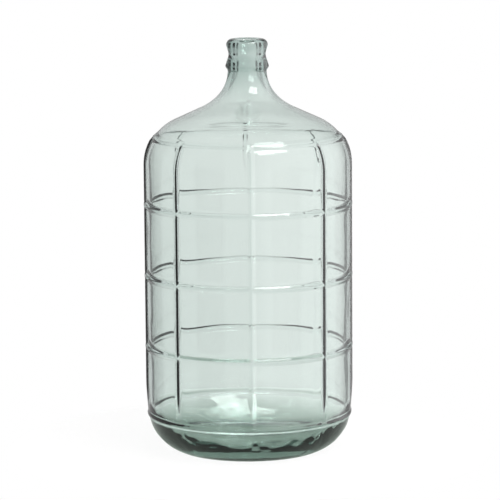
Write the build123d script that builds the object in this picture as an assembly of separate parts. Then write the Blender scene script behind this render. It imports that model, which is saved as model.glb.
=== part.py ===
from build123d import *
from math import acos, asin, atan2, ceil, cos, degrees, pi, radians, remainder, sin, sqrt, tan
import os

# Clear glass carboy of 5 US gallons, blown in a ribbed mould as one piece.
# Millimetres, +Z up. The origin is the middle of the base, on the plane it stands on.

# Body and dome
HEIGHT = 512.5
BODY_RADIUS = 126.5
SHOULDER_RADIUS = 60.0
DOME_SLOPE = 24.5

# Heel and base, with the ring it stands on
HEEL_RADIUS = 55.0
BEARING_INSET = 38.5
BEARING_WIDTH = 5.0
PUSH_UP = 11.0

# Neck and its finish, stacked from the mouth down: lip, waist, collar, neck, flare
BORE_RADIUS = 13.5
NECK_WALL = 10.5
LIP_PROUD = 4.0
LIP_ROUND = 7.0
LIP_TO_WAIST = 18.7
WAIST_DIP = 1.7
WAIST_ROUND = 12.0
WAIST_TO_COLLAR = 15.1
COLLAR_PROUD = 3.1
COLLAR_ROUND = 2.2
COLLAR_UNDERCUT = 4.7
NECK_LENGTH = 1.0
FLARE_HEIGHT = 45.3
MOUTH_ROUND = 3.5
BORE_DEPTH = 38.5

# The flare is one curve from the dome's slope to the neck. Each pull is how far the
# curve is held to the line it leaves.
FLARE_FOOT_RADIUS = 58.2
FLARE_FOOT_PULL = 32.7
FLARE_NECK_PULL = 10.1
INNER_FOOT_INSET = 3.2
INNER_FOOT_PULL = 34.2
INNER_NECK_PULL = 8.3

# Glass thickness and the inside of the base
SIDE_WALL = 4.8
DOME_WALL = 4.8
BASE_WALL = 9.0
HEEL_WALL = 9.2
INNER_HEEL_RADIUS = 44.0

# Rings round the body
SIDE_RINGS = 3
LOWEST_RING_HEIGHT = 130.7
TOP_RING_DROP = 50.0
SHOULDER_RING_ANGLE = 35.5
BASE_RING_ANGLE = -7.0
RING_PROUD = 3.0
BASE_RING_PROUD = 1.6
RING_CREST = 4.6

# Ribs down the body, from the shoulder ring to the base ring
RIB_COUNT = 8
RIB_TURN = 1.75
RIB_PROUD = 2.0
RIB_CREST = 4.0
RIB_FADE_START = 95.0
RIB_FADE_RADIUS = 750.0

# Flanks of rings and ribs: run for each millimetre of rise, and how deep their foot lies
FLANK_RUN = 1.4
FLANK_SINK = 1.2

# Round stretches are drawn in chords that leave the true curve by no more than the gap
CHORD_GAP = 0.2
FLARE_CHORDS = 6

# Worked out from the sizes above
NECK_RADIUS = BORE_RADIUS + NECK_WALL
COLLAR_HEIGHT = HEIGHT - LIP_TO_WAIST - WAIST_TO_COLLAR
FLARE_TOP = COLLAR_HEIGHT - COLLAR_UNDERCUT - NECK_LENGTH
SHOULDER_MIDDLE = BODY_RADIUS - SHOULDER_RADIUS
SLOPE_RISE = (SHOULDER_MIDDLE - FLARE_FOOT_RADIUS) * tan(radians(DOME_SLOPE))
SHOULDER_START = FLARE_TOP - FLARE_HEIGHT - SLOPE_RISE - SHOULDER_RADIUS / cos(radians(DOME_SLOPE))
SHOULDER_CENTRE = (SHOULDER_MIDDLE, SHOULDER_START)
BEARING_RADIUS = BODY_RADIUS - BEARING_INSET
HEEL_REACH = HEEL_RADIUS - BEARING_INSET
HEEL_CENTRE = (BODY_RADIUS - HEEL_RADIUS, sqrt(HEEL_RADIUS**2 - HEEL_REACH**2))


def on_arc(centre, radius, angle):
    """Point of a round stretch, its angle measured up from level."""
    return (centre[0] + radius * cos(radians(angle)), centre[1] + radius * sin(radians(angle)))


def round_stretch(centre, radius, start, end):
    """Chord points along a round stretch from one angle to another."""
    steps = ceil(abs(end - start) / (2 * degrees(acos(1 - CHORD_GAP / radius))))
    return [on_arc(centre, radius, start + (end - start) * step / steps) for step in range(steps + 1)]


def rounded(corners, radii):
    """Outline through corners, with each corner between the ends rounded by its radius."""
    points = [corners[0]]
    for before, corner, after, radius in zip(corners, corners[1:], corners[2:], radii):
        arriving = atan2(corner[1] - before[1], corner[0] - before[0])
        leaving = atan2(after[1] - corner[1], after[0] - corner[0])
        turn = remainder(leaving - arriving, 2 * pi)
        set_back = radius * tan(abs(turn) / 2)
        side = 90 if turn > 0 else -90
        tangent = (corner[0] - set_back * cos(arriving), corner[1] - set_back * sin(arriving))
        centre = on_arc(tangent, radius, degrees(arriving) + side)
        first = degrees(arriving) - side
        points += round_stretch(centre, radius, first, first + degrees(turn))
    return points + [corners[-1]]


def dome_height(radius, depth):
    """Height, at a radius, of the line a depth below the dome's straight slope."""
    crest = (SHOULDER_RADIUS - depth) / cos(radians(DOME_SLOPE))
    return SHOULDER_START + crest + (SHOULDER_MIDDLE - radius) * tan(radians(DOME_SLOPE))


def dome_and_flare(depth, foot_radius, foot_pull, neck, neck_pull):
    """Shoulder and dome at a depth below the surface, and the flare up to the neck."""
    shoulder = round_stretch(SHOULDER_CENTRE, SHOULDER_RADIUS - depth, 0, 90 - DOME_SLOPE)
    foot = (foot_radius, dome_height(foot_radius, depth))
    above_foot = on_arc(foot, foot_pull, 180 - DOME_SLOPE)
    below_neck = (neck[0], neck[1] - neck_pull)
    curve = Bezier(foot, above_foot, below_neck, neck)
    bends = [curve @ (step / FLARE_CHORDS) for step in range(FLARE_CHORDS + 1)]
    return shoulder + [(bend.X, bend.Y) for bend in bends]


def turned(points):
    """Solid of revolution about the bottle's axis from its half outline."""
    return revolve(make_face(Plane.XZ * Polyline(*points, close=True)), Axis.Z)


def outer_form():
    """Outside of the bottle as a full solid, without rings or ribs."""
    bearing_inside = BEARING_RADIUS - BEARING_WIDTH
    crown = (bearing_inside**2 + PUSH_UP**2) / (2 * PUSH_UP)
    crown_edge = degrees(acos(bearing_inside / crown))
    underside = round_stretch((0, PUSH_UP - crown), crown, 90, crown_edge)
    heel = round_stretch(HEEL_CENTRE, HEEL_RADIUS, -degrees(acos(HEEL_REACH / HEEL_RADIUS)), 0)
    neck = (NECK_RADIUS, FLARE_TOP)
    dome = dome_and_flare(0, FLARE_FOOT_RADIUS, FLARE_FOOT_PULL, neck, FLARE_NECK_PULL)
    finish = rounded(
        [
            (NECK_RADIUS, COLLAR_HEIGHT - COLLAR_UNDERCUT),
            (NECK_RADIUS + COLLAR_PROUD, COLLAR_HEIGHT),
            (NECK_RADIUS - WAIST_DIP, HEIGHT - LIP_TO_WAIST),
            (NECK_RADIUS + LIP_PROUD, HEIGHT),
            (0, HEIGHT),
        ],
        [COLLAR_ROUND, WAIST_ROUND, LIP_ROUND],
    )
    return turned(underside + heel + dome + finish)


def inner_form():
    """Space inside the bottle, from the floor to the mouth."""
    heel_centre = (BODY_RADIUS - SIDE_WALL - INNER_HEEL_RADIUS, HEEL_WALL + INNER_HEEL_RADIUS)
    floor_rise = PUSH_UP + BASE_WALL - HEEL_WALL
    heel_drop = INNER_HEEL_RADIUS - floor_rise
    crown = (heel_centre[0] ** 2 + heel_drop**2 - INNER_HEEL_RADIUS**2) / (2 * floor_rise)
    crown_centre = (0, PUSH_UP + BASE_WALL - crown)
    lean = degrees(asin(heel_centre[0] / (crown + INNER_HEEL_RADIUS)))
    floor = round_stretch(crown_centre, crown, 90, 90 - lean)
    heel = round_stretch(heel_centre, INNER_HEEL_RADIUS, -90 - lean, 0)
    foot_radius = FLARE_FOOT_RADIUS - INNER_FOOT_INSET
    bore_end = (BORE_RADIUS, HEIGHT - BORE_DEPTH)
    dome = dome_and_flare(DOME_WALL, foot_radius, INNER_FOOT_PULL, bore_end, INNER_NECK_PULL)
    mouth_centre = (BORE_RADIUS + MOUTH_ROUND, HEIGHT - MOUTH_ROUND)
    mouth = round_stretch(mouth_centre, MOUTH_ROUND, 180, 90)
    return turned(floor[:-1] + heel + dome + mouth + [(0, HEIGHT)])


def bead_section(crest, proud):
    """Flat-crested bead with sloping flanks: distance along the wall, height above it."""
    foot = crest / 2 + (proud + FLANK_SINK) * FLANK_RUN
    return [(-foot, -FLANK_SINK), (-crest / 2, proud), (crest / 2, proud), (foot, -FLANK_SINK)]


def ring(centre, radius, angle, proud):
    """Bead round the bottle, on a round stretch of its outline at an angle up from level."""
    place = Pos(*on_arc(centre, radius, angle)) * Rot(0, 0, angle - 90)
    section = place * make_face(Polyline(*bead_section(RING_CREST, proud), close=True))
    return revolve(Plane.XZ * section, Axis.Z)


def rings():
    """The three rings of the straight side, the shoulder ring and the base ring."""
    spacing = (SHOULDER_START - TOP_RING_DROP - LOWEST_RING_HEIGHT) / (SIDE_RINGS - 1)
    heights = [LOWEST_RING_HEIGHT + spacing * place for place in range(SIDE_RINGS)]
    side = [ring((0, height), BODY_RADIUS, 0, RING_PROUD) for height in heights]
    shoulder = ring(SHOULDER_CENTRE, SHOULDER_RADIUS, SHOULDER_RING_ANGLE, RING_PROUD)
    base = ring(HEEL_CENTRE, HEEL_RADIUS, BASE_RING_ANGLE, BASE_RING_PROUD)
    return side + [shoulder, base]


def rib():
    """Bead down the side, over the shoulder at its top and fading into the wall at its foot."""
    foot_height = on_arc(HEEL_CENTRE, HEEL_RADIUS, BASE_RING_ANGLE)[1]
    fade_angle = degrees(asin((RIB_FADE_START - foot_height) / RIB_FADE_RADIUS))
    fade_centre = (BODY_RADIUS - RIB_FADE_RADIUS, RIB_FADE_START)
    with BuildLine(Plane.XZ) as path:
        CenterArc(SHOULDER_CENTRE, SHOULDER_RADIUS, SHOULDER_RING_ANGLE, -SHOULDER_RING_ANGLE)
        Line((BODY_RADIUS, SHOULDER_START), (BODY_RADIUS, RIB_FADE_START))
        CenterArc(fade_centre, RIB_FADE_RADIUS, 0, -fade_angle)
    top = on_arc(SHOULDER_CENTRE, SHOULDER_RADIUS, SHOULDER_RING_ANGLE)
    across_top = Plane.XZ * Pos(*top) * Rot(0, 0, SHOULDER_RING_ANGLE) * Rot(90, 0, 0)
    outline = [(rise, across) for across, rise in bead_section(RIB_CREST, RIB_PROUD)]
    return sweep(across_top * make_face(Polyline(*outline, close=True)), path.line)


def glass_bottle():
    """The whole bottle."""
    ribs = [spot * rib() for spot in PolarLocations(0, RIB_COUNT, RIB_TURN)]
    return outer_form() + rings() + ribs - inner_form()


os.makedirs("parts", exist_ok=True)
export_step(glass_bottle(), "parts/glass_bottle.step")
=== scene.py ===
import math

import bpy
from mathutils import Matrix, Vector


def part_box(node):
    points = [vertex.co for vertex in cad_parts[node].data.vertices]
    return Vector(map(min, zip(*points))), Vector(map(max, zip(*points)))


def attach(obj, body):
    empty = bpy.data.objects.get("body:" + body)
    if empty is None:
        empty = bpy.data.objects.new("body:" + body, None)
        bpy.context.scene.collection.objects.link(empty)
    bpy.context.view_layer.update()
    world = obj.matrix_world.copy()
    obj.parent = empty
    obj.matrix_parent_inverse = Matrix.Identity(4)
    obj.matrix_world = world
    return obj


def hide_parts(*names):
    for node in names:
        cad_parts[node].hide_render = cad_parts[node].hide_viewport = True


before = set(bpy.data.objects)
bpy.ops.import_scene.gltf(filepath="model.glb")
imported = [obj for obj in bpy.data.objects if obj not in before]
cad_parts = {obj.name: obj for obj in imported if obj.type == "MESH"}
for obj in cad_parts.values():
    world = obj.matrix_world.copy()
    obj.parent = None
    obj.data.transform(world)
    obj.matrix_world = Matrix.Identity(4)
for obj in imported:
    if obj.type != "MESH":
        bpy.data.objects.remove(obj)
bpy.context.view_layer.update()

bl_info = {
    "name": "Glass carboy",
    "version": (1, 0, 0),
    "blender": (4, 5, 0),
    "location": "View3D > Sidebar > Carboy",
    "description": "Models a ribbed glass carboy and its photo studio",
    "category": "Add Mesh",
}

MM = 0.001
BOTTLE_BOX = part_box("glass_bottle")

# Neck finish. Drops are measured down from the mouth, and the rest out from the neck's outside
COLLAR_DROP = 33.8 * MM
COLLAR_HALF_HEIGHT = 4.7 * MM
COLLAR_PROUD = 3.1 * MM
WAIST_DROP = 18.7 * MM
WAIST_INSET = 1.7 * MM
LIP_PROUD = 4.0 * MM
BORE_DEPTH = 38.5 * MM
# Round from the top of the mouth into the bore
MOUTH_ROUND = 3.5 * MM
# Rounds of the collar's foot, the collar, the waist and the lip
FINISH_ROUNDS = [1.5 * MM, 2.2 * MM, 12 * MM, 7 * MM]

# Flare between the neck and the dome. Its holds say how far its curve keeps to the dome's slope
# at the foot, and to the neck's line at the top
FLARE_BELOW_COLLAR = 5.7 * MM
FLARE_RISE = 45.3 * MM
FLARE_FOOT_RADIUS = 58.2 * MM
INNER_FLARE_INSET = 3.2 * MM
OUTER_HOLDS = (32.7 * MM, 10.1 * MM)
INNER_HOLDS = (34.2 * MM, 8.3 * MM)

# Rings. The turns are measured up from level, round the shoulder's and the heel's centres
SIDE_RINGS = 3
LOWEST_RING_HEIGHT = 130.7 * MM
HIGHEST_RING_BELOW_SHOULDER = 50 * MM
SHOULDER_RING_TURN = math.radians(35.5)
BASE_RING_TURN = math.radians(-7)

# Ribs. They start below the base ring, stand full from one height on, and yield most of their
# height where they cross a ring
RIB_FOOT_DROP = 9 * MM
RIB_FULL_FROM = 88 * MM
RIB_YIELD = 0.85

# Ghosts of the ribs on the inner wall: how much wider they are, and where they come and go
GHOST_SPREAD = 1.8
GHOST_LEAST_RADIUS = 100 * MM
GHOST_FOOT = (50 * MM, 95 * MM)
GHOST_TOP = (350 * MM, 380 * MM)

# Unevenness of the inner wall: its two waves, where it grows out from the axis, where it lessens
# up into the dome, and what counts as heel and base
BLOWN_WALL_WAVE = 55 * MM
BLOWN_BASE_WAVE = 10 * MM
UNEVEN_FROM_AXIS = (30 * MM, 60 * MM)
STEADIER_UP = (340 * MM, 390 * MM)
STEADIER_SHARE = 0.8
HEEL_ZONE_TOP = 60 * MM
HEEL_ZONE_SHARE = 0.8
BASE_ZONE_TOP = (40 * MM, 75 * MM)

# Mesh. The outline is drawn finely, and then thinned to rows of faces that lie this far apart
POINT_SPACING = 0.25 * MM
FLARE_STEPS = 60
FINISH_ROWS = 1.6 * MM
FLARE_ROWS = 3 * MM
INNER_HEEL_ROWS = 2.4 * MM
RING_ROWS = 1.1 * MM
PLAIN_ROWS = 5.5 * MM
# Zones of those rows: the finish lies outside its radius and the flare inside, each from a drop
# below the collar or the flare's top, and the inner heel lies clear of each outer surface
FINISH_ZONE_RADIUS = 15 * MM
FINISH_ZONE_DROP = 8 * MM
FLARE_ZONE_RADIUS = 60 * MM
FLARE_ZONE_DROP = 50 * MM
INNER_HEEL_TOP = 40 * MM
CLEAR_OF_UNDERSIDE = 1 * MM
CLEAR_OF_HEEL = 5 * MM
CLEAR_OF_SIDE = 10 * MM
OUTER_SIDE_DEPTH = 2 * MM
RING_REACH = 0.56
# Columns of faces: narrow ones in a zone under each rib, and wide ones on the panel beside it
RIB_ZONE_WIDTH = 15 * MM
RIB_ZONE_COLUMNS = 12
PANEL_COLUMNS = 13
MERGE_DISTANCE = 0.02 * MM
LEAST_WEIGHT = 0.001


def linear(colour):
    """Linear colour of an sRGB hex value."""
    parts = [int(colour[place : place + 2], 16) / 255 for place in (1, 3, 5)]
    return [
        part / 12.92 if part <= 0.04045 else ((part + 0.055) / 1.055) ** 2.4 for part in parts
    ]


def length(name, description, millimetres):
    """A length that a user may change, given in millimetres."""
    return bpy.props.FloatProperty(
        name=name,
        description=description,
        default=millimetres * MM,
        unit="LENGTH",
        subtype="DISTANCE",
        precision=5,
    )


def angle(name, description, degrees):
    """An angle that a user may change, given in degrees."""
    return bpy.props.FloatProperty(
        name=name,
        description=description,
        default=math.radians(degrees),
        unit="ROTATION",
        subtype="ANGLE",
    )


class CARBOY_PG_form(bpy.types.PropertyGroup):
    """Sizes of the bottle's outline, outside and inside."""

    height: length("Height", "From the ground to the mouth", BOTTLE_BOX[1].z / MM)
    body_radius: length("Body radius", "Outside of the plain wall", 126.5)
    shoulder_radius: length("Shoulder round", "Radius from the side into the dome", 60)
    dome_slope: angle("Dome slope", "Slope of the dome above level", 24.5)
    heel_radius: length("Heel round", "Radius from the side into the base", 55)
    bearing_inset: length(
        "Bearing inset", "From the body's outside to the ring it stands on", 38.5
    )
    bearing_width: length("Bearing width", "Width of the ring it stands on", 5)
    push_up: length("Push-up", "Height of the middle of the underside", 11)
    neck_radius: length("Neck radius", "Outside of the neck below the collar", 24)
    bore_radius: length("Bore radius", "Inside of the mouth", 13.5)
    wall: length("Side wall", "Glass thickness at the foot of the side", 4.8)
    dome_wall: length("Dome wall", "Glass thickness of the dome, to which the side thins", 3.8)
    base_wall: length("Base thickness", "Glass thickness in the middle of the base", 12)
    heel_wall: length("Heel thickness", "Glass thickness above the ring it stands on", 13)
    inner_heel_radius: length("Inner heel round", "Radius from the inner wall to the floor", 46)


class CARBOY_PG_mould(bpy.types.PropertyGroup):
    """Sizes of the raised grid and of the uneven blown glass."""

    ribs: bpy.props.IntProperty(
        name="Ribs", description="Ribs round the body", default=8, min=1
    )
    rib_turn: angle("Rib turn", "Turn of the ribs to the viewer's right", 1.5)
    rib_proud: length("Rib height", "Height of a rib above the wall", 2.6)
    rib_width: length("Rib width", "Width of a rib between its feet", 10.5)
    ring_proud: length("Ring height", "Height of a ring above the wall", 2.6)
    ring_width: length("Ring width", "Width of a ring between its feet", 10.5)
    shoulder_ring_proud: length(
        "Shoulder ring height", "Height of the ring round the shoulder", 1.1
    )
    shoulder_ring_width: length(
        "Shoulder ring width", "Width of the ring round the shoulder", 14
    )
    base_ring_proud: length("Base ring height", "Height of the lowest ring", 1.6)
    ghost: bpy.props.FloatProperty(
        name="Ghost",
        description="Share of a rib that shows on the inner wall",
        default=0.25,
        min=0,
        max=1,
    )
    unevenness: length("Unevenness", "How far the inner wall wanders", 0.5)
    base_unevenness: length("Base unevenness", "How far the inner base wanders", 1.1)


class CARBOY_PG_glass(bpy.types.PropertyGroup):
    """Colour and gloss of the glass."""

    tint: bpy.props.FloatVectorProperty(
        name="Tint",
        description="Colour that thick glass takes",
        default=linear("#B0C5C1"),
        subtype="COLOR",
        min=0,
        max=1,
    )
    density: bpy.props.FloatProperty(
        name="Density",
        description="Strength of the tint for each metre of glass",
        default=60,
        min=0,
    )
    ior: bpy.props.FloatProperty(
        name="IOR", description="Refractive index", default=1.52, min=1
    )


class CARBOY_PG_studio(bpy.types.PropertyGroup):
    """Camera, backdrop and lamps."""

    distance: length("Camera distance", "From the camera to the middle of the bottle", 3730)
    elevation: angle("Camera elevation", "Angle that the camera looks down", 8.6)
    roll: angle("Camera roll", "Turn of the camera about its view", -0.42)
    aim_height: length("Aim height", "Height on the axis that the camera looks at", 249.5)
    aim_right: length("Aim right", "Distance right of the axis that the camera looks at", 1.9)
    lens: bpy.props.FloatProperty(
        name="Lens", description="Focal length for a 36 mm frame, in mm", default=216
    )
    paper_half_angle: angle(
        "Paper half angle", "Half the width of white paper seen from the bottle", 27
    )
    box_strength: bpy.props.FloatProperty(
        name="Soft box", description="Strength of the soft box", default=8, min=0
    )


# Outline


def on_arc(centre, radius, turn):
    """Point of a round stretch, its turn measured up from level."""
    return Vector((centre[0] + radius * math.cos(turn), centre[1] + radius * math.sin(turn)))


def arc(centre, radius, start, end):
    """Points along a round stretch from one turn to another."""
    steps = max(1, math.ceil(abs(end - start) * radius / POINT_SPACING))
    turns = [start + (end - start) * step / steps for step in range(steps + 1)]
    return [on_arc(centre, radius, turn) for turn in turns]


def line(start, end):
    """Points along a straight stretch."""
    start, end = Vector(start), Vector(end)
    steps = max(1, math.ceil((end - start).length / POINT_SPACING))
    return [start.lerp(end, step / steps) for step in range(steps + 1)]


def bend(start, start_hold, end_hold, end):
    """Points along a curve that leaves start and reaches end along its two holds."""
    marks = [Vector(mark) for mark in (start, start_hold, end_hold, end)]
    points = []
    for step in range(FLARE_STEPS + 1):
        t = step / FLARE_STEPS
        u = 1 - t
        shares = (u**3, 3 * u * u * t, 3 * u * t * t, t**3)
        pulls = (share * mark for share, mark in zip(shares, marks))
        points.append(sum(pulls, Vector((0, 0))))
    return points


def rounded(corners, radii):
    """Outline through corners, with each corner between the ends rounded by its radius."""
    points = []
    reached = Vector(corners[0])
    for corner, after, radius in zip(corners[1:], corners[2:], radii):
        corner, after = Vector(corner), Vector(after)
        arriving = (corner - reached).normalized()
        leaving = (after - corner).normalized()
        turn = math.atan2(arriving.cross(leaving), arriving.dot(leaving))
        set_back = radius * math.tan(abs(turn) / 2)
        side = math.copysign(math.pi / 2, turn)
        first = corner - arriving * set_back
        heading = math.atan2(arriving.y, arriving.x)
        centre = on_arc(first, radius, heading + side)
        points += line(reached, first)
        points += arc(centre, radius, heading - side, heading - side + turn)
        reached = corner + leaving * set_back
    return points + line(reached, corners[-1])


def swell(distance, width):
    """Soft-sided bead: 1 at its middle, 0 from half its width on."""
    if distance >= width / 2:
        return 0.0
    return 0.5 + 0.5 * math.cos(2 * math.pi * distance / width)


def smooth_step(low, high, value):
    """0 below low, 1 above high, easing between them."""
    share = min(1.0, max(0.0, (value - low) / (high - low)))
    return share * share * (3 - 2 * share)


class Outline:
    """The bottle's half outline, worked out from its sizes."""

    def __init__(self, form, mould):
        self.form = form
        self.mould = mould
        slope = form.dome_slope
        self.collar_height = form.height - COLLAR_DROP
        self.flare_top = self.collar_height - FLARE_BELOW_COLLAR
        middle = form.body_radius - form.shoulder_radius
        slope_rise = (middle - FLARE_FOOT_RADIUS) * math.tan(slope)
        crest = form.shoulder_radius / math.cos(slope)
        shoulder_height = self.flare_top - FLARE_RISE - slope_rise - crest
        self.shoulder_centre = Vector((middle, shoulder_height))
        reach = form.heel_radius - form.bearing_inset
        self.heel_start = -math.acos(reach / form.heel_radius)
        heel_height = -form.heel_radius * math.sin(self.heel_start)
        self.heel_centre = Vector((form.body_radius - form.heel_radius, heel_height))
        highest_ring = shoulder_height - HIGHEST_RING_BELOW_SHOULDER
        spacing = (highest_ring - LOWEST_RING_HEIGHT) / (SIDE_RINGS - 1)
        self.side_rings = [LOWEST_RING_HEIGHT + spacing * place for place in range(SIDE_RINGS)]
        self.shoulder_ring = on_arc(
            self.shoulder_centre, form.shoulder_radius, SHOULDER_RING_TURN
        )
        self.base_ring = on_arc(self.heel_centre, form.heel_radius, BASE_RING_TURN)

    def ring_places(self):
        """Where each ring sits on the outline, how proud it is and how wide."""
        mould = self.mould
        places = [
            (Vector((self.form.body_radius, height)), mould.ring_proud, mould.ring_width)
            for height in self.side_rings
        ]
        places.append((self.shoulder_ring, mould.shoulder_ring_proud, mould.shoulder_ring_width))
        places.append((self.base_ring, mould.base_ring_proud, mould.ring_width))
        return places

    def dome_height(self, radius, depth):
        """Height, at a radius, of the line a depth below the dome's straight slope."""
        slope = self.form.dome_slope
        crest = (self.form.shoulder_radius - depth) / math.cos(slope)
        return self.shoulder_centre.y + crest + (self.shoulder_centre.x - radius) * math.tan(slope)

    def dome(self, depth, foot_radius, holds, neck):
        """Shoulder, dome and flare at a depth below the surface, up to the neck."""
        slope = self.form.dome_slope
        foot_hold, neck_hold = holds
        radius = self.form.shoulder_radius - depth
        shoulder = arc(self.shoulder_centre, radius, 0, math.pi / 2 - slope)
        foot = Vector((foot_radius, self.dome_height(foot_radius, depth)))
        above_foot = on_arc(foot, foot_hold, math.pi - slope)
        flare = bend(foot, above_foot, (neck[0], neck[1] - neck_hold), neck)
        return shoulder + line(shoulder[-1], foot)[1:] + flare[1:]

    def finish(self):
        """Collar, waist and rolled lip, up to the level top of the mouth."""
        neck = self.form.neck_radius
        top = self.form.height
        corners = [
            (neck, self.flare_top),
            (neck, self.collar_height - COLLAR_HALF_HEIGHT),
            (neck + COLLAR_PROUD, self.collar_height),
            (neck - WAIST_INSET, top - WAIST_DROP),
            (neck + LIP_PROUD, top),
            (self.form.bore_radius + MOUTH_ROUND, top),
        ]
        return rounded(corners, FINISH_ROUNDS)

    def outside(self):
        """Outside from the middle of the base to the mouth, without rings."""
        form = self.form
        inside_edge = form.body_radius - form.bearing_inset - form.bearing_width
        crown = (inside_edge**2 + form.push_up**2) / (2 * form.push_up)
        edge_turn = math.acos(inside_edge / crown)
        underside = arc((0, form.push_up - crown), crown, math.pi / 2, edge_turn)
        heel = arc(self.heel_centre, form.heel_radius, self.heel_start, 0)
        bearing = line(underside[-1], heel[0])
        side = line(heel[-1], (form.body_radius, self.shoulder_centre.y))
        neck = (form.neck_radius, self.flare_top)
        dome = self.dome(0, FLARE_FOOT_RADIUS, OUTER_HOLDS, neck)
        return underside + bearing[1:-1] + heel + side[1:] + dome[1:] + self.finish()[1:]

    def inside(self):
        """Inside from the mouth down to the middle of the floor."""
        form = self.form
        mouth_centre = (form.bore_radius + MOUTH_ROUND, form.height - MOUTH_ROUND)
        mouth = arc(mouth_centre, MOUTH_ROUND, math.pi / 2, math.pi)
        bore_end = (form.bore_radius, form.height - BORE_DEPTH)
        bore = line(mouth[-1], bore_end)
        foot_radius = FLARE_FOOT_RADIUS - INNER_FLARE_INSET
        dome = self.dome(form.dome_wall, foot_radius, INNER_HOLDS, bore_end)
        radius = form.inner_heel_radius
        heel_centre = Vector((form.body_radius - form.wall - radius, form.heel_wall + radius))
        middle = form.push_up + form.base_wall
        rise = middle - form.heel_wall
        crown = (heel_centre.x**2 + (radius - rise) ** 2 - radius**2) / (2 * rise)
        lean = math.asin(heel_centre.x / (crown + radius))
        floor = arc((0, middle - crown), crown, math.pi / 2 - lean, math.pi / 2)
        heel = arc(heel_centre, radius, 0, -math.pi / 2 - lean)
        side = line(dome[0], heel[0])
        return mouth[1:] + bore[1:] + dome[::-1][1:] + side[1:] + heel[1:] + floor[1:]

    def row_spacing(self, point):
        """How far apart rows of faces lie at a point of the outline."""
        form = self.form
        finish_foot = self.collar_height - FINISH_ZONE_DROP
        if point.y > finish_foot and point.x > FINISH_ZONE_RADIUS:
            return FINISH_ROWS
        flare_foot = self.flare_top - FLARE_ZONE_DROP
        if point.y > flare_foot and point.x < FLARE_ZONE_RADIUS:
            return FLARE_ROWS

        # The inner heel and the floor beside it have the shortest waves
        above_underside = form.push_up + CLEAR_OF_UNDERSIDE < point.y < INNER_HEEL_TOP
        inside_heel = (point - self.heel_centre).length < form.heel_radius - CLEAR_OF_HEEL
        inside_side = point.x < form.body_radius - CLEAR_OF_SIDE
        if above_underside and inside_heel and inside_side:
            return INNER_HEEL_ROWS

        on_side = point.x > form.body_radius - OUTER_SIDE_DEPTH
        past_rings = min(
            (point - place).length - width * RING_REACH for place, _, width in self.ring_places()
        )
        if past_rings < 0 and (on_side or point.y > self.shoulder_centre.y):
            return RING_ROWS
        return PLAIN_ROWS

    def with_rings(self, points):
        """The outline with each ring swelling out of it."""
        swollen = []
        for place, point in enumerate(points):
            after = points[min(place + 1, len(points) - 1)]
            before = points[max(place - 1, 0)]
            along = (after - before).normalized()
            outward = Vector((along.y, -along.x))
            rise = sum(
                proud * swell((point - centre).length, width)
                for centre, proud, width in self.ring_places()
            )
            swollen.append(point + outward * rise)
        return swollen

    def thinned(self, points):
        """The outline with only as many points as its rows of faces need."""
        kept = [points[0]]
        for point in points[1:-1]:
            if (point - kept[-1]).length >= self.row_spacing(point):
                kept.append(point)
        return kept + [points[-1]]


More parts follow.
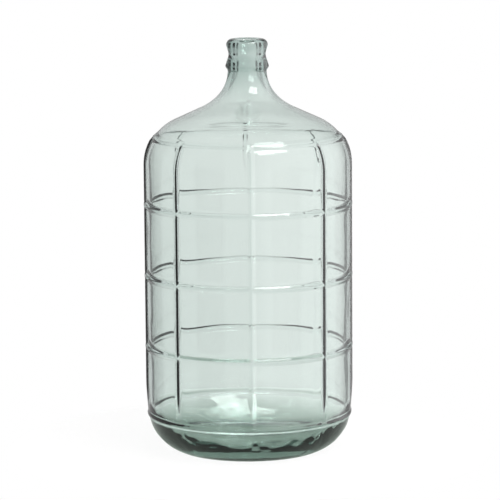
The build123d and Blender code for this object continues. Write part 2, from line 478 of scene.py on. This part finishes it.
class Zones:
    """Weights from 0 to 1 that say where ribs, ghosts and unevenness lie on the wall."""

    def __init__(self, outline):
        self.outline = outline
        self.form = outline.form
        self.mould = outline.mould
        self.pitch = 2 * math.pi / self.mould.ribs
        self.wall_middle = self.form.body_radius - self.form.wall / 2

    def across(self, point):
        """Distance round the body from the nearest rib's middle."""
        turn = math.atan2(point.y, point.x) + math.pi / 2 - self.mould.rib_turn
        from_rib = (turn + self.pitch / 2) % self.pitch - self.pitch / 2
        return abs(from_rib) * self.form.body_radius

    def is_outer(self, point):
        """True on the outer surface between the base ring and the shoulder ring."""
        form, outline = self.form, self.outline
        radius = math.hypot(point.x, point.y)
        here = Vector((radius, point.z))
        if point.z > outline.shoulder_centre.y:
            outer = (here - outline.shoulder_centre).length > form.shoulder_radius - form.wall / 2
            return outer and radius > outline.shoulder_ring.x
        if point.z < outline.heel_centre.y:
            outer = (here - outline.heel_centre).length > form.heel_radius - form.heel_wall / 2
            return outer and point.z > outline.base_ring.y - RIB_FOOT_DROP
        return radius > self.wall_middle

    def ribs(self, point):
        """Rib across and along the wall, giving way where a ring already stands above it."""
        if not self.is_outer(point):
            return 0.0
        outline, mould = self.outline, self.mould
        here = Vector((math.hypot(point.x, point.y), point.z))
        ring = max(swell(abs(point.z - height), mould.ring_width) for height in outline.side_rings)
        from_shoulder_ring = (here - outline.shoulder_ring).length
        ring = max(ring, swell(from_shoulder_ring, mould.shoulder_ring_width))
        along = smooth_step(outline.base_ring.y - RIB_FOOT_DROP, RIB_FULL_FROM, point.z)
        return swell(self.across(point), mould.rib_width) * along * (1 - RIB_YIELD * ring)

    def ghosts(self, point):
        """The same ribs, wide and faint on the inner wall."""
        radius = math.hypot(point.x, point.y)
        if not GHOST_LEAST_RADIUS <= radius <= self.wall_middle or point.z < GHOST_FOOT[0]:
            return 0.0
        level = smooth_step(*GHOST_FOOT, point.z) * (1 - smooth_step(*GHOST_TOP, point.z))
        return swell(self.across(point), self.mould.rib_width * GHOST_SPREAD) * level

    def inner_wall(self, point):
        """Inner wall from the heel to the flare."""
        form, outline = self.form, self.outline
        radius = math.hypot(point.x, point.y)
        from_shoulder = (Vector((radius, point.z)) - outline.shoulder_centre).length
        inner = radius < self.wall_middle
        if point.z > outline.shoulder_centre.y:
            under_shoulder = from_shoulder < form.shoulder_radius - form.wall / 2
            under_dome = point.z <= outline.dome_height(radius, form.wall / 2)
            inner = (under_shoulder or radius < outline.shoulder_centre.x) and under_dome
        if point.z < HEEL_ZONE_TOP:
            underside = form.push_up * (1 - radius / form.body_radius)
            inner = inner and point.z > form.heel_wall * HEEL_ZONE_SHARE + underside
        steady = 1 - STEADIER_SHARE * smooth_step(*STEADIER_UP, point.z)
        return smooth_step(*UNEVEN_FROM_AXIS, radius) * inner * steady

    def inner_base(self, point):
        """Inner heel and floor, where the glass gathers unevenly."""
        return self.inner_wall(point) * (1 - smooth_step(*BASE_ZONE_TOP, point.z))


# Modelling


def deselect_all():
    """Leaves nothing selected."""
    if bpy.context.object and bpy.context.object.mode != "OBJECT":
        bpy.ops.object.mode_set(mode="OBJECT")
    bpy.ops.object.select_all(action="DESELECT")


def extruded_outline(points, name):
    """A half outline in the XZ plane, extruded point by point from a small plane merged to one."""
    deselect_all()
    bpy.ops.mesh.primitive_plane_add(size=MM, location=(points[0].x, 0, points[0].y))
    piece = bpy.context.object
    piece.name = name
    bpy.ops.object.transform_apply(location=True, rotation=True, scale=True)
    bpy.ops.object.mode_set(mode="EDIT")
    bpy.ops.mesh.merge(type="CENTER")
    bpy.ops.mesh.select_all(action="SELECT")
    for here, there in zip(points, points[1:]):
        step = there - here
        bpy.ops.mesh.extrude_region_move(TRANSFORM_OT_translate={"value": (step.x, 0, step.y)})
    bpy.ops.mesh.select_all(action="SELECT")
    bpy.ops.object.mode_set(mode="OBJECT")
    return piece


def spun(piece, rib_count, rib_turn, rib_zone):
    """Spins the outline clockwise about the axis, zone by zone, and closes it."""
    pitch = 2 * math.pi / rib_count
    start = -math.pi / 2 + rib_turn + rib_zone / 2
    piece.data.transform(Matrix.Rotation(start, 4, "Z"))
    bpy.ops.object.mode_set(mode="EDIT")
    bpy.ops.mesh.select_all(action="SELECT")
    for _ in range(rib_count):
        for columns, turn in ((RIB_ZONE_COLUMNS, rib_zone), (PANEL_COLUMNS, pitch - rib_zone)):
            bpy.ops.mesh.spin(steps=columns, angle=turn, center=(0, 0, 0), axis=(0, 0, 1))
    bpy.ops.mesh.select_all(action="SELECT")
    bpy.ops.mesh.remove_doubles(threshold=MERGE_DISTANCE)
    bpy.ops.mesh.select_all(action="SELECT")
    bpy.ops.mesh.normals_make_consistent(inside=False)
    bpy.ops.object.mode_set(mode="OBJECT")


def weigh(piece, name, weight):
    """A vertex group with a weight worked out for each vertex."""
    group = piece.vertex_groups.new(name=name)
    for vertex in piece.data.vertices:
        value = weight(vertex.co)
        if value > LEAST_WEIGHT:
            group.add([vertex.index], value, "REPLACE")
    return name


def push(piece, group, strength, texture=None):
    """Moves a group of vertices along their normals, by a texture where given, for good."""
    modifier = piece.modifiers.new(group, "DISPLACE")
    modifier.vertex_group = group
    modifier.strength = strength
    modifier.mid_level = 0.0
    modifier.direction = "NORMAL"
    if texture:
        modifier.mid_level = 0.5
        modifier.texture = texture
        modifier.texture_coords = "LOCAL"
    bpy.context.view_layer.objects.active = piece
    bpy.ops.object.modifier_apply(modifier=modifier.name)


def clouds(name, size):
    """Slow random swelling of blown glass, of a given size."""
    texture = bpy.data.textures.new(name, "CLOUDS")
    texture.noise_scale = size
    texture.noise_depth = 1
    texture.cloud_type = "GRAYSCALE"
    return texture


# Material


def add_node(tree, kind, settings=None, inputs=None):
    """Adds a node, gives it its settings, and fills inputs with values or links."""
    made = tree.nodes.new(kind)
    for name, value in (settings or {}).items():
        setattr(made, name, value)
    for name, value in (inputs or {}).items():
        if isinstance(value, bpy.types.NodeSocket):
            tree.links.new(value, made.inputs[name])
        else:
            made.inputs[name].default_value = value
    return made


def bottle_glass(look):
    """Soda-lime glass, blown in an iron mould: colourless when thin, sea green when thick."""
    material = bpy.data.materials.new("soda_lime_bottle_glass")
    material.use_nodes = True
    tree = material.node_tree
    tree.nodes.clear()
    place = add_node(tree, "ShaderNodeTexCoord")
    # The cold mould leaves slow, shallow ripples that bend what is seen through the wall
    ripple_length = 24 * MM
    ripple_height = 0.04 * MM
    ripples = add_node(
        tree,
        "ShaderNodeTexNoise",
        {"noise_dimensions": "3D"},
        {
            "Vector": place.outputs["Object"],
            "Scale": 1 / ripple_length,
            "Detail": 1.0,
            "Roughness": 0.4,
        },
    )
    bump = add_node(
        tree,
        "ShaderNodeBump",
        None,
        {"Height": ripples.outputs["Fac"], "Distance": ripple_height, "Strength": 1.0},
    )
    surface = add_node(
        tree,
        "ShaderNodeBsdfPrincipled",
        None,
        {
            "Base Color": (*linear("#FBFEFC"), 1),
            "Metallic": 0.0,
            "Roughness": 0.0,
            "IOR": look.ior,
            "Transmission Weight": 1.0,
            "Normal": bump.outputs["Normal"],
        },
    )
    # Iron in the sand tints the glass with depth, so the heel, base and edges look greenest
    body = add_node(
        tree,
        "ShaderNodeVolumeAbsorption",
        None,
        {"Color": (*look.tint, 1), "Density": look.density},
    )
    add_node(
        tree,
        "ShaderNodeOutputMaterial",
        None,
        {"Surface": surface.outputs["BSDF"], "Volume": body.outputs["Volume"]},
    )
    return material


class CARBOY_OT_bottle(bpy.types.Operator):
    """Model the bottle: its outline, the raised grid, and the uneven glass"""

    bl_idname = "mesh.carboy_bottle"
    bl_label = "Bottle"

    def execute(self, context):
        form = context.scene.carboy_form
        mould = context.scene.carboy_mould
        outline = Outline(form, mould)
        outside = outline.with_rings(outline.thinned(outline.outside()))
        inside = outline.thinned(outline.inside())
        bottle = extruded_outline(outside + inside, "carboy_glass")
        spun(bottle, mould.ribs, mould.rib_turn, RIB_ZONE_WIDTH / form.body_radius)

        zones = Zones(outline)
        blown_wall = clouds("blown_wall", BLOWN_WALL_WAVE)
        blown_base = clouds("blown_base", BLOWN_BASE_WAVE)
        push(bottle, weigh(bottle, "ribs", zones.ribs), mould.rib_proud)
        push(bottle, weigh(bottle, "ghosts", zones.ghosts), -mould.rib_proud * mould.ghost)
        push(bottle, weigh(bottle, "wall", zones.inner_wall), mould.unevenness, blown_wall)
        push(bottle, weigh(bottle, "base", zones.inner_base), mould.base_unevenness, blown_base)
        bottle.vertex_groups.clear()

        bpy.ops.object.shade_smooth()
        bottle.data.materials.clear()
        bottle.data.materials.append(bottle_glass(context.scene.carboy_glass))
        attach(bottle, "root")
        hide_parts("glass_bottle")
        return {"FINISHED"}


# Studio. Edges and heights of the room are sines of the angle that the bottle sees them at

PAPER_EDGE = math.radians(3)
DARK_ROOM = 0.03
GROUND_EDGE = (-0.25, -0.225)
CEILING_EDGE = (0.0, 0.25)
CEILING_LIGHT = 0.66
# The room's bright side, at the right of the camera, and the haze that it lays on the glass
BRIGHT_SIDE = Vector((0.966, -0.259, 0))
HAZE_EDGE = (0.2, 0.8)
HAZE = (0.5, 2.4)
# Ray Depth of light that went straight through both walls is 5, and what turned more has more
STRAIGHT_THROUGH = 5.5
MANY_TURNS_LIGHT = 0.68
# Soft box, high at the right of the camera: its turn about the axis, half width and soft edge
BOX_TURN = math.radians(-90 + 37)
BOX_HALF_WIDTH = (0.24, 0.29)
BOX_EDGE = 0.05
# Its lowest height and its reach behind, for light mirrored once and for light of many turns
FRONT_BOX = (0.64, 0.42)
DEEP_BOX = (0.45, -0.3)
DEEP_BOX_GAIN = 2.8

FLOOR_RADIUS = 0.3
FLOOR_GLOW = 0.94
# The floor's painted shadow starts and ends at these multiples of the radius that the bottle
# stands on
PAINTED_SHADE_SPREAD = (0.8, 4)
LAMP_PLACE = Vector((0.5, -0.9, 2.2))
LAMP_AIM = Vector((0, 0, 0.2))
LAMP_SIZE = 1.2
LAMP_WATTS = 20
FRAME_WIDTH_MM = 36


def studio_world(paper_half_angle, box_strength):
    """White paper on four sides with dark room between, and the lights that the glass mirrors."""
    world = bpy.data.worlds.new("studio_room")
    bpy.context.scene.world = world
    world.use_nodes = True
    tree = world.node_tree
    tree.nodes.clear()
    place = add_node(tree, "ShaderNodeTexCoord")
    parts = add_node(tree, "ShaderNodeSeparateXYZ", None, {0: place.outputs["Generated"]})
    ease = {"interpolation_type": "SMOOTHSTEP"}

    # Paper stands at the front, back and sides and lies on the ground, under a pale ceiling
    sideways = add_node(
        tree, "ShaderNodeMath", {"operation": "ABSOLUTE"}, {0: parts.outputs["X"]}
    )
    forward = add_node(
        tree, "ShaderNodeMath", {"operation": "ABSOLUTE"}, {0: parts.outputs["Y"]}
    )
    off_axis = add_node(
        tree,
        "ShaderNodeMath",
        {"operation": "MINIMUM"},
        {0: sideways.outputs[0], 1: forward.outputs[0]},
    )
    paper = add_node(
        tree,
        "ShaderNodeMapRange",
        ease,
        {
            "Value": off_axis.outputs[0],
            "From Min": math.sin(paper_half_angle - PAPER_EDGE),
            "From Max": math.sin(paper_half_angle + PAPER_EDGE),
            "To Min": 1.0,
            "To Max": DARK_ROOM,
        },
    )
    ground = add_node(
        tree,
        "ShaderNodeMapRange",
        ease,
        {
            "Value": parts.outputs["Z"],
            "From Min": GROUND_EDGE[0],
            "From Max": GROUND_EDGE[1],
            "To Min": 1.0,
            "To Max": 0.0,
        },
    )
    ceiling = add_node(
        tree,
        "ShaderNodeMapRange",
        ease,
        {
            "Value": parts.outputs["Z"],
            "From Min": CEILING_EDGE[0],
            "From Max": CEILING_EDGE[1],
            "To Min": 0.0,
            "To Max": CEILING_LIGHT,
        },
    )
    above_or_below = add_node(
        tree,
        "ShaderNodeMath",
        {"operation": "MAXIMUM"},
        {0: ceiling.outputs[0], 1: ground.outputs[0]},
    )
    seen_through = add_node(
        tree,
        "ShaderNodeMath",
        {"operation": "MAXIMUM"},
        {0: paper.outputs[0], 1: above_or_below.outputs[0]},
    )

    # Surfaces mirror the haze, glass shows what is behind it, and many turns blend into one light
    bright_side = add_node(
        tree,
        "ShaderNodeVectorMath",
        {"operation": "DOT_PRODUCT"},
        {0: place.outputs["Generated"], 1: BRIGHT_SIDE},
    )
    haze = add_node(
        tree,
        "ShaderNodeMapRange",
        ease,
        {
            "Value": bright_side.outputs["Value"],
            "From Min": HAZE_EDGE[0],
            "From Max": HAZE_EDGE[1],
            "To Min": HAZE[0],
            "To Max": HAZE[1],
        },
    )
    path = add_node(tree, "ShaderNodeLightPath")
    many_turns = add_node(
        tree,
        "ShaderNodeMath",
        {"operation": "GREATER_THAN"},
        {0: path.outputs["Ray Depth"], 1: STRAIGHT_THROUGH},
    )
    behind = add_node(
        tree,
        "ShaderNodeMix",
        {"data_type": "FLOAT"},
        {0: many_turns.outputs[0], 2: seen_through.outputs[0], 3: MANY_TURNS_LIGHT},
    )
    room = add_node(
        tree,
        "ShaderNodeMix",
        {"data_type": "FLOAT"},
        {0: path.outputs["Is Reflection Ray"], 2: behind.outputs[0], 3: haze.outputs[0]},
    )

    # The front of the shoulder and rings mirrors the soft box as white lines. Light that goes in,
    # and is mirrored off the back or the heel, meets a longer and stronger box
    across = Vector((-math.sin(BOX_TURN), math.cos(BOX_TURN), 0))
    ahead = Vector((math.cos(BOX_TURN), math.sin(BOX_TURN), 0))
    aside, facing = (
        add_node(
            tree,
            "ShaderNodeVectorMath",
            {"operation": "DOT_PRODUCT"},
            {0: place.outputs["Generated"], 1: way},
        )
        for way in (across, ahead)
    )
    narrow = add_node(
        tree, "ShaderNodeMath", {"operation": "ABSOLUTE"}, {0: aside.outputs["Value"]}
    )
    box_width = add_node(
        tree,
        "ShaderNodeMapRange",
        ease,
        {
            "Value": narrow.outputs[0],
            "From Min": BOX_HALF_WIDTH[0],
            "From Max": BOX_HALF_WIDTH[1],
            "To Min": 1.0,
            "To Max": 0.0,
        },
    )
    boxes = []
    for (lowest, least_ahead), strength in (
        (FRONT_BOX, box_strength),
        (DEEP_BOX, DEEP_BOX_GAIN * box_strength),
    ):
        height, front = (
            add_node(
                tree,
                "ShaderNodeMapRange",
                ease,
                {"Value": value, "From Min": edge, "From Max": edge + BOX_EDGE, "To Max": most},
            )
            for value, edge, most in (
                (parts.outputs["Z"], lowest, strength),
                (facing.outputs["Value"], least_ahead, 1.0),
            )
        )
        upright = add_node(
            tree,
            "ShaderNodeMath",
            {"operation": "MULTIPLY"},
            {0: height.outputs[0], 1: front.outputs[0]},
        )
        boxes.append(
            add_node(
                tree,
                "ShaderNodeMath",
                {"operation": "MULTIPLY"},
                {0: box_width.outputs[0], 1: upright.outputs[0]},
            )
        )
    box = add_node(
        tree,
        "ShaderNodeMix",
        {"data_type": "FLOAT"},
        {0: many_turns.outputs[0], 2: boxes[0].outputs[0], 3: boxes[1].outputs[0]},
    )
    lit_room = add_node(
        tree, "ShaderNodeMath", {"operation": "ADD"}, {0: room.outputs[0], 1: box.outputs[0]}
    )
    seen = add_node(
        tree,
        "ShaderNodeMix",
        {"data_type": "FLOAT"},
        {0: path.outputs["Is Camera Ray"], 2: lit_room.outputs[0], 3: 1.0},
    )
    light = add_node(
        tree, "ShaderNodeBackground", None, {"Color": (1, 1, 1, 1), "Strength": seen.outputs[0]}
    )
    add_node(tree, "ShaderNodeOutputWorld", None, {"Surface": light.outputs[0]})


def floor_material(foot_radius):
    """Matt white paper, glowing to meet the backdrop without a line, with a painted shadow under
    the bottle.
    """
    material = bpy.data.materials.new("matt_paper_sweep")
    material.use_nodes = True
    tree = material.node_tree
    tree.nodes.clear()
    place = add_node(tree, "ShaderNodeTexCoord")
    out = add_node(
        tree, "ShaderNodeVectorMath", {"operation": "LENGTH"}, {0: place.outputs["Object"]}
    )
    # Painted shadow: the floor's glow dims towards the foot of the bottle
    painted_shade = add_node(
        tree,
        "ShaderNodeMapRange",
        {"interpolation_type": "SMOOTHSTEP"},
        {
            "Value": out.outputs["Value"],
            "From Min": foot_radius * PAINTED_SHADE_SPREAD[0],
            "From Max": foot_radius * PAINTED_SHADE_SPREAD[1],
            "To Min": 0.0,
            "To Max": 1.0,
        },
    )
    # Rays from the camera see plain white paper, and other rays see the painted shadow
    path = add_node(tree, "ShaderNodeLightPath")
    lit = add_node(
        tree,
        "ShaderNodeMath",
        {"operation": "MAXIMUM"},
        {0: path.outputs["Is Camera Ray"], 1: painted_shade.outputs[0]},
    )
    # Painted shadow: under the bottle the paper glows dimmer and green, as if lit only through the
    # thick base
    colour = add_node(
        tree,
        "ShaderNodeMix",
        {"data_type": "RGBA"},
        {0: lit.outputs[0], 6: (*linear("#A9B9AE"), 1), 7: (1, 1, 1, 1)},
    )
    matt = add_node(tree, "ShaderNodeBsdfDiffuse", None, {"Color": (*linear("#F4F4F2"), 1)})
    glow = add_node(
        tree, "ShaderNodeEmission", None, {"Color": colour.outputs[2], "Strength": 1.0}
    )
    both = add_node(
        tree, "ShaderNodeMixShader", None, {0: FLOOR_GLOW, 1: matt.outputs[0], 2: glow.outputs[0]}
    )
    add_node(tree, "ShaderNodeOutputMaterial", None, {"Surface": both.outputs[0]})
    return material


class CARBOY_OT_stage(bpy.types.Operator):
    """Set up the paper floor, the lamp, the room and the camera"""

    bl_idname = "scene.carboy_stage"
    bl_label = "Stage"

    def execute(self, context):
        form = context.scene.carboy_form
        studio = context.scene.carboy_studio
        deselect_all()
        bpy.ops.mesh.primitive_circle_add(
            vertices=96, radius=FLOOR_RADIUS, fill_type="NGON", location=(0, 0, 0)
        )
        floor = context.object
        floor.name = "paper_floor"
        floor.data.materials.append(floor_material(form.body_radius - form.bearing_inset))
        studio_world(studio.paper_half_angle, studio.box_strength)

        bpy.ops.object.light_add(type="AREA", location=LAMP_PLACE)
        lamp = context.object
        lamp.name = "overhead_soft_box"
        lamp.data.shape = "DISK"
        lamp.data.size = LAMP_SIZE
        lamp.data.energy = LAMP_WATTS
        lamp.rotation_euler = (LAMP_AIM - lamp.location).to_track_quat("-Z", "Y").to_euler()
        lamp.visible_transmission = False
        lamp.visible_glossy = False

        aim = Vector((studio.aim_right, 0, studio.aim_height))
        back = Matrix.Rotation(-studio.elevation, 3, "X") @ Vector((0, -studio.distance, 0))
        bpy.ops.object.camera_add(location=aim + back)
        camera = context.object
        camera.name = "photo_camera"
        view = (aim - camera.location).to_track_quat("-Z", "Y").to_matrix()
        camera.rotation_euler = (view @ Matrix.Rotation(studio.roll, 3, "Z")).to_euler()
        camera.data.lens = studio.lens
        camera.data.sensor_width = FRAME_WIDTH_MM
        camera.data.clip_end = 30
        context.scene.camera = camera
        context.scene.view_settings.view_transform = "Standard"
        return {"FINISHED"}


class CARBOY_PT_panel(bpy.types.Panel):
    """Lists the pieces and their sizes"""

    bl_idname = "CARBOY_PT_panel"
    bl_label = "Glass carboy"
    bl_space_type = "VIEW_3D"
    bl_region_type = "UI"
    bl_category = "Carboy"

    def draw(self, context):
        scene = context.scene
        for group in (scene.carboy_form, scene.carboy_mould, scene.carboy_glass):
            for name in group.__annotations__:
                self.layout.prop(group, name)
        self.layout.operator(CARBOY_OT_bottle.bl_idname)
        for name in scene.carboy_studio.__annotations__:
            self.layout.prop(scene.carboy_studio, name)
        self.layout.operator(CARBOY_OT_stage.bl_idname)


CLASSES = (
    CARBOY_PG_form,
    CARBOY_PG_mould,
    CARBOY_PG_glass,
    CARBOY_PG_studio,
    CARBOY_OT_bottle,
    CARBOY_OT_stage,
    CARBOY_PT_panel,
)


def register():
    """Registers the classes and the settings of the scene."""
    for kind in CLASSES:
        bpy.utils.register_class(kind)
    bpy.types.Scene.carboy_form = bpy.props.PointerProperty(type=CARBOY_PG_form)
    bpy.types.Scene.carboy_mould = bpy.props.PointerProperty(type=CARBOY_PG_mould)
    bpy.types.Scene.carboy_glass = bpy.props.PointerProperty(type=CARBOY_PG_glass)
    bpy.types.Scene.carboy_studio = bpy.props.PointerProperty(type=CARBOY_PG_studio)


def unregister():
    """Takes the settings and the classes away again."""
    del bpy.types.Scene.carboy_studio
    del bpy.types.Scene.carboy_glass
    del bpy.types.Scene.carboy_mould
    del bpy.types.Scene.carboy_form
    for kind in reversed(CLASSES):
        bpy.utils.unregister_class(kind)


def main():
    """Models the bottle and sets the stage."""
    register()
    bpy.ops.mesh.carboy_bottle()
    bpy.ops.scene.carboy_stage()


if __name__ == "__main__":
    main()
